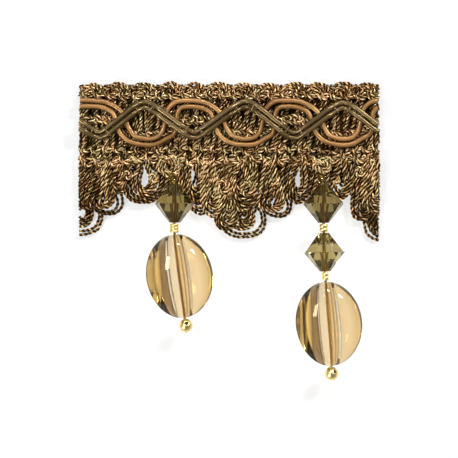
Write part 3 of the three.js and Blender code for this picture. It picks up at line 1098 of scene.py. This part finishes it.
# from 0 at the left rim to 0.55 at the right one, then the back of the bead and, from 0.64, the bore
amberAndPaintedLightRamp = [
    (0.0, "rim"), (0.02, "honey"), (0.06, "amber"), (0.08, "brown"), (0.105, "gold"), (0.135, "amber"),
    (0.153, "rim"), (0.16, "smoke"), (0.2, "smoke"), (0.213, "rim"), (0.218, "cream"), (0.333, "cream"),
    (0.337, "brown"), (0.345, "straw"), (0.42, "straw"), (0.53, "honey"), (0.55, "brown"), (0.57, "back"),
    (0.62, "back"), (0.64, "clear"), (0.69, "clear"), (0.7, "amber"), (0.715, "clear"), (0.827, "clear"),
    (0.85, "amber"), (0.872, "paintedBoreStreak"), (0.895, "straw"), (0.917, "paintedBoreStreak"), (0.94, "straw"),
    (0.96, "paintedBoreStreak"), (1.0, "amber"),
]
paintedBandStops = {
    "leftRim": 0.0, "straight": 0.153, "boreLeft": 0.215, "boreRight": 0.336, "rightRim": 0.55,
    "back": 0.6, "clear": 0.66,
}


def addAmberAndPaintedLight(material):
    tree = material.node_tree
    paintedBand = addNode(tree, "ShaderNodeAttribute", attribute_name="paintedBand")
    # the amber colour and the painted shade, highlight and refraction bands go into the base colour
    tint = rampNode(tree, paintedBand.outputs["Fac"], [(place, amberAndPaintedLightTints[name]) for place, name in amberAndPaintedLightRamp])
    tree.links.new(tint, tree.nodes["Principled BSDF"].inputs["Base Color"])


smokyGlass = glassMaterial("smokyGlass", (0.4, 0.32, 0.13), 1.5, 0.02, (1.0, 0.88, 0.5))
# a darker copy of smokyGlass for the beads that lie over the yarn: painted shade
smokyGlassPaintedShade = glassMaterial("smokyGlassPaintedShade", (0.26, 0.195, 0.065), 1.5, 0.02, (1.0, 0.86, 0.45))
topazAcrylic = glassMaterial("topazAcrylic", (0.6, 0.47, 0.3), 1.38, 0.01, (1.0, 0.86, 0.6))
addAmberAndPaintedLight(topazAcrylic)
giltMetal = giltMaterial()
threadShade = strandMaterial("goldThread", dict(
    rayonLook, dark=(0.12, 0.07, 0.015), middle=(0.24, 0.15, 0.04), light=(0.5, 0.34, 0.12),
    patchStrength=0.2, fibres=5.0, hueChange=0.0,
))


def axisAt(side, node):
    # a bead's middle is its box's middle, and its axis follows the thread there
    low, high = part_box(node)
    middle = np.array([(low[i] + high[i]) / 2 / mm for i in range(3)])
    thread = smoothPath(threadPoints[side], 0.1)
    nearest = int(np.argmin(np.abs(thread[:, 1] - middle[1])))
    ahead = thread[min(nearest + 2, len(thread) - 1)] - thread[max(nearest - 2, 0)]
    centre = thread[nearest].copy()
    return centre, ahead / np.linalg.norm(ahead)


def beadMesh(name, centre, axis, rings, material, bore=boreRadius, sharp=0.3, paintedBandValues=None):
    # rings run along the axis, each (place along it, points round it); a bore goes right through
    right = np.cross(np.array([0.0, 0.0, 1.0]), axis)
    right = right / np.linalg.norm(right)
    upward = np.cross(axis, right)
    sides = len(rings[0][1])
    count = len(rings)
    turn = np.linspace(0, 2 * math.pi, sides, endpoint=False)
    hole = np.stack([np.cos(turn), np.sin(turn)], axis=1)
    bores = np.broadcast_to(np.asarray(bore, dtype=float), (count,))
    holes = [(place, hole * radius) for (place, ring), radius in zip(rings, bores)]
    points = [
        centre + axis * place + ring[:, :1] * right + ring[:, 1:] * upward
        for place, ring in rings + holes
    ]
    points = np.concatenate(points) * mm
    faces = []
    inner = count * sides
    top, bottom = 0, (count - 1) * sides
    for j in range(sides):
        k = (j + 1) % sides
        for i in range(count - 1):
            a, b = i * sides, (i + 1) * sides
            faces.append((a + j, a + k, b + k, b + j))
            faces.append((inner + a + j, inner + b + j, inner + b + k, inner + a + k))
        faces.append((top + j, inner + top + j, inner + top + k, top + k))
        faces.append((bottom + j, bottom + k, inner + bottom + k, inner + bottom + j))
    mesh = bpy.data.meshes.new(name)
    mesh.from_pydata(points.tolist(), [], faces)
    mesh.polygons.foreach_set("use_smooth", [True] * len(faces))
    if paintedBandValues is not None:
        paintedBand = mesh.attributes.new("paintedBand", "FLOAT", "POINT")
        # the bore's near side gets painted refraction bands too, along its length
        paintedBoreStreak = np.where(hole[:, 1] > 0, 0.85 + 0.15 * hole[:, 0], paintedBandStops["clear"])
        paintedBand.data.foreach_set("value", np.concatenate(paintedBandValues + [paintedBoreStreak] * count))
    mesh.update()
    mesh.set_sharp_from_angle(angle=sharp)
    piece = placeMesh(name, mesh, material)
    # clear beads throw no lamp shadow, so that the floor looks pale through them
    piece.visible_shadow = material == giltMetal
    return piece


def polygonRing(radius, corners, turned, sides=beadSides):
    # a regular polygon, with a vertex of the ring on each corner
    turn = np.linspace(0, 2 * math.pi, sides, endpoint=False)
    step = 2 * math.pi / corners
    local = (turn + step / 2) % step - step / 2
    reach = radius * math.cos(step / 2) / np.cos(np.abs(local) - step / 2)
    return np.stack([reach * np.cos(turn + turned), reach * np.sin(turn + turned)], axis=1)


def roundRing(radius, sides=beadSides):
    turn = np.linspace(0, 2 * math.pi, sides, endpoint=False)
    return np.stack([radius * np.cos(turn), radius * np.sin(turn)], axis=1)


bicone = {"length": 8.1, "radius": 4.28, "tip": 1.15, "girdle": 0.16, "corners": 8}


def makeBicone(name, side, node, turned, glass):
    centre, axis = axisAt(side, node)
    half, corners = bicone["length"] / 2, bicone["corners"]
    rings = []
    shift = beadSides // corners // 2
    for place, radius in (
        (-half, bicone["tip"]), (-bicone["girdle"] / 2, bicone["radius"]),
        (bicone["girdle"] / 2, bicone["radius"]), (half, bicone["tip"]),
    ):
        # the facets of one end stand between those of the other
        step = shift if place > 0 else 0
        ring = polygonRing(radius, corners, turned + step * 2 * math.pi / beadSides)
        rings.append((place, np.roll(ring, step, axis=0)))
    piece = beadMesh(name, centre, axis, rings, glass)
    return finishPiece(piece, "smoky_glass", node)


ovalShape = {
    "length": 17.5,
    "halfWidth": 7.15,
    "halfDepth": 4.12,
    "collar": 0.19,            # share of the half width left at each end
    "depthFall": 0.62,         # the depth narrows later than the width
    "twist": 0.12,
    "stations": 56,
    "endBore": 0.75,
    "middleBore": 2.3,
}
# the cut across the bead is an oval with these flats ground on it: direction in degrees, depth of the cut
ovalFlats = [(146, 0.9), (188, 0.93), (222, 0.9), (262, 0.93)]


def ovalSection(points=144):
    section = []
    for turn in np.linspace(0, 2 * math.pi, points, endpoint=False):
        reach = 1.0
        for direction, depth in ovalFlats:
            facing = math.cos(turn - math.radians(direction))
            if facing > 0:
                reach = min(reach, depth / facing)
        section.append((reach * math.cos(turn), reach * math.sin(turn)))
    return np.array(section)


def paintedBandPlaces(ring, angle, middle):
    # painted refraction bands run beside the bore, and a straight painted shade line lies to its left
    edgeBulge = 0.73 + 1.52 * max(0.0, math.cos(angle)) ** 0.8
    leftRim, rightRim = ring[:, 0].min(), ring[:, 0].max()
    straight = min(-3.55 - 0.5 * math.sin(angle) + middle, middle - edgeBulge - 0.3)
    straight = max(straight, leftRim + 0.1)
    bands = [leftRim, straight, middle - edgeBulge, middle + edgeBulge, rightRim]
    bands = np.maximum.accumulate(np.array(bands) + np.arange(5) * 1e-3)
    steps = [paintedBandStops[label] for label in ("leftRim", "straight", "boreLeft", "boreRight", "rightRim")]
    return np.where(ring[:, 1] > -0.05, np.interp(ring[:, 0], bands, steps), paintedBandStops["back"])


def makeOval(name, side, node):
    centre, axis = axisAt(side, node)
    section = ovalSection()
    half = ovalShape["length"] / 2
    rings, bores, paintedBandValues = [], [], []
    edge = math.acos(ovalShape["collar"])
    for angle in np.linspace(-edge, edge, ovalShape["stations"]):
        widening = ovalShape["middleBore"] - ovalShape["endBore"]
        bores.append(ovalShape["endBore"] + widening * math.cos(angle))
        place = half * math.sin(angle) / math.sin(edge)
        share = math.cos(angle) ** 1.04
        turned = -ovalShape["twist"] * place / half
        skew = 0.012 * math.sin(2 * angle)
        depth = share ** ovalShape["depthFall"]
        ring = section * np.array([ovalShape["halfWidth"] * share, ovalShape["halfDepth"] * depth])
        ring[:, 0] += skew * ovalShape["halfWidth"]
        cosine, sine = math.cos(turned), math.sin(turned)
        across, deep = ring[:, 0], ring[:, 1]
        ring = np.stack([across * cosine - deep * sine, across * sine + deep * cosine], axis=1)
        rings.append((place, ring))
        paintedBandValues.append(paintedBandPlaces(ring, angle, skew * ovalShape["halfWidth"]))
    piece = beadMesh(name, centre, axis, rings, topazAcrylic, bore=bores, sharp=0.1, paintedBandValues=paintedBandValues)
    return finishPiece(piece, "topaz_acrylic", node)


def makeSpacer(name, side, node, length, lumps, radius, material, slotName):
    # a short stack of rounded rings
    centre, axis = axisAt(side, node)
    rings = []
    for place in np.linspace(-length / 2, length / 2, 8 * lumps + 1):
        phase = (place / length + 0.5) * lumps
        swell = abs(math.sin(math.pi * phase)) ** (0.6 if lumps > 1 else 0.2)
        rings.append((place, roundRing(radius * (0.8 + 0.2 * swell))))
    piece = beadMesh(name, centre, axis, rings, material, bore=radius * 0.5, sharp=1.2)
    return finishPiece(piece, slotName, node)


ballShape = {"radius": 1.45, "hole": 0.52, "stations": 20}


def makeBall(name, side, node, lean):
    # the hole faces partly towards the viewer, as the bead hangs askew
    centre, axis = axisAt(side, node)
    tilted = np.array(lean) / np.linalg.norm(lean)
    rings = []
    edge = math.acos(ballShape["hole"] / ballShape["radius"])
    for angle in np.linspace(-edge, edge, ballShape["stations"]):
        radius = ballShape["radius"]
        rings.append((radius * math.sin(angle) * 0.97, roundRing(radius * math.cos(angle), 32)))
    piece = beadMesh(name, centre, tilted, rings, giltMetal, bore=ballShape["hole"] * 0.8, sharp=0.9)
    return finishPiece(piece, "gilt", node)


def makeThread(name, side, node):
    store = newStore()
    path = smoothPath(threadPoints[side], 0.2)
    thread = yarnSizes(threadDiameter / 2, 0.19, 1.1, 6, 0.1, 0.1)
    addYarn(store, path, thread, 0.5)
    return finishPiece(makeObject(name, store, threadShade), "gold_thread", node)


for side in ("left", "right"):
    makeThread(f"{side}Thread", side, f"{side}_drop_thread")
    makeOval(f"{side}Oval", side, f"{side}_drop_oval")
    makeSpacer(f"{side}Tube", side, f"{side}_drop_tube", 2.1, 1, 0.85, smokyGlass, "smoky_glass")
makeBicone("leftBicone", "left", "left_drop_bicone", math.pi / 8 + 0.06, smokyGlassPaintedShade)
makeBicone("rightBiconeUpper", "right", "right_drop_bicone_1", math.pi / 8 - 0.08, smokyGlassPaintedShade)
makeBicone("rightBiconeLower", "right", "right_drop_bicone_2", math.pi / 8 + 0.1, smokyGlass)
makeSpacer("leftSpacer", "left", "left_drop_spacer", 1.9, 3, 1.0, giltMetal, "gilt")
makeSpacer("rightSpacerUpper", "right", "right_drop_spacer_1", 1.6, 2, 0.95, giltMetal, "gilt")
makeSpacer("rightSpacerLower", "right", "right_drop_spacer_2", 1.7, 2, 0.74, giltMetal, "gilt")
makeBall("leftBall", "left", "left_drop_ball", (0.1, 0.35, 0.85))
makeBall("rightBall", "right", "right_drop_ball", (0.45, 0.4, 0.8))
print("bead drops are made")


# Floor, light and camera

view = {
    "frameWidth": 96.94,   # millimetres across the picture, at the trim's face
    "centreY": 0.18,
    "lens": 120.0,
    "sensor": 36.0,
    "faceHeight": 2.0,
}
lamps = [
    {"name": "upperRight", "from": (0.34, 0.32, 0.34), "size": (0.1, 0.1), "power": 2.7},
    {"name": "lowerLeft", "from": (-0.34, -0.3, 0.34), "size": (0.08, 0.08), "power": 1.8},
    {"name": "top", "from": (0.02, 0.42, 0.42), "size": (0.08, 0.05), "power": 1.0},
    {"name": "leftWindow", "from": (-0.26, 0.1, 0.5), "size": (0.09, 0.13), "power": 1.1},
]
skyStops = [(0.0, 0.4), (0.45, 0.32), (0.8, 0.22), (1.0, 0.16)]   # horizon to zenith


def makeFloor():
    mesh = bpy.data.meshes.new("paleFloor")
    reach = 3.0
    corners = [(-reach, -reach, 0), (reach, -reach, 0), (reach, reach, 0), (-reach, reach, 0)]
    mesh.from_pydata(corners, [], [(0, 1, 2, 3)])
    material, _, shader = newMaterial("paleFloor")
    shader.inputs["Base Color"].default_value = (0.29, 0.29, 0.29, 1)
    shader.inputs["Roughness"].default_value = 0.9
    shader.inputs["Specular IOR Level"].default_value = 0.1
    shader.inputs["Emission Color"].default_value = (1, 1, 1, 1)
    shader.inputs["Emission Strength"].default_value = 0.6
    mesh.materials.append(material)
    linkObject("paleFloor", mesh)


def makeLamps():
    for lamp in lamps:
        data = bpy.data.lights.new(lamp["name"], "AREA")
        data.shape = "RECTANGLE"
        data.size, data.size_y = lamp["size"]
        data.energy = lamp["power"]
        lampObject = linkObject(lamp["name"], data)
        lampObject.location = lamp["from"]
        towards = Vector(lamp["from"]).normalized()
        upright = (Vector((0, 1, 0)) - towards * towards.y).normalized()
        turned = Matrix((upright.cross(towards), upright, towards)).transposed()
        lampObject.rotation_mode = "QUATERNION"
        lampObject.rotation_quaternion = turned.to_quaternion()
    world = bpy.data.worlds.new("studio")
    world.use_nodes = True
    tree = world.node_tree
    place = tree.nodes.new("ShaderNodeTexCoord")
    split = tree.nodes.new("ShaderNodeSeparateXYZ")
    tree.links.new(place.outputs["Generated"], split.inputs[0])
    sky = rampNode(tree, split.outputs[2], [(height, (tone, tone, tone)) for height, tone in skyStops])
    tree.links.new(sky, tree.nodes["Background"].inputs[0])
    bpy.context.scene.world = world


def makeCamera():
    data = bpy.data.cameras.new("camera")
    data.lens = view["lens"]
    data.sensor_width = view["sensor"]
    data.clip_start = 0.01
    data.clip_end = 20
    distance = view["frameWidth"] * view["lens"] / view["sensor"] + view["faceHeight"]
    camera = linkObject("camera", data)
    camera.location = (0, view["centreY"] * mm, distance * mm)
    bpy.context.scene.camera = camera


makeFloor()
makeLamps()
makeCamera()
bpy.context.scene.view_settings.view_transform = "Standard"
print("floor, light and camera are set")
